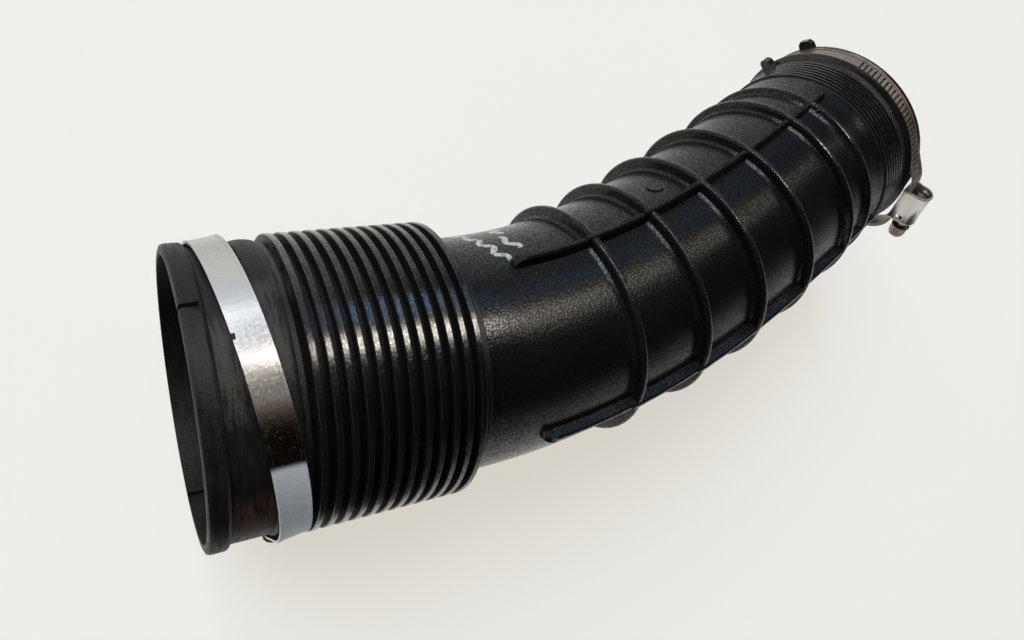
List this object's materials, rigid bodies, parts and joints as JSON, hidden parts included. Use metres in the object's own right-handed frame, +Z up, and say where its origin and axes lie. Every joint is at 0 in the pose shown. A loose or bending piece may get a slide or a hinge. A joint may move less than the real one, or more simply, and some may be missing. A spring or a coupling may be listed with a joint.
{
  "type": "air intake duct",
  "caption": "Bent ribbed air intake duct with a finned soft cuff on its wide mouth, a smaller soft cuff on its far end, and a worm drive clamp on each.",
  "frame": {"origin": "Centre of the big mouth's end plane, on the duct's line.", "axes": "+X runs into the duct along the big mouth's line, the tube bends towards +Y in the plane z = 0, and +Z is up as the duct lies on a floor."},
  "size_m": [0.3186, 0.1695, 0.0937],
  "materials": {
    "tube_plastic": "glossy black moulded thermoplastic with a fine grain and dust",
    "big_cuff_rubber": "satin brown-black soft thermoplastic rubber, dusty in the grooves",
    "small_cuff_rubber": "satin grey-brown soft thermoplastic rubber, dusty",
    "big_band_steel": "rolled steel strip, lightly scratched with dull patches",
    "small_band_steel": "rolled steel strip, dull and stained",
    "housing_steel": "stamped steel, satin with worn edges",
    "screw_steel": "plated steel screw, slightly tarnished"
  },
  "bodies": {
    "duct": {"duct_tube": "tube_plastic", "big_cuff": "big_cuff_rubber", "small_cuff": "small_cuff_rubber", "big_clamp_band": "big_band_steel", "big_clamp_housing": "housing_steel", "small_clamp_band": "small_band_steel", "small_clamp_housing": "housing_steel"},
    "big_screw": {"big_clamp_screw": "screw_steel"},
    "small_screw": {"small_clamp_screw": "screw_steel"}
  },
  "joints": [
    {"name": "big_screw_turn", "type": "hinge", "parent": "duct", "child": "big_screw", "pos_m": [0.02386, -0.04646, -0.02648], "axis": [-0.0679, 0.4954, -0.866], "continuous": true},
    {"name": "small_screw_turn", "type": "hinge", "parent": "duct", "child": "small_screw", "pos_m": [0.30938, 0.03369, 0.02829], "axis": [0.2958, -0.5707, -0.766], "continuous": true}
  ]
}
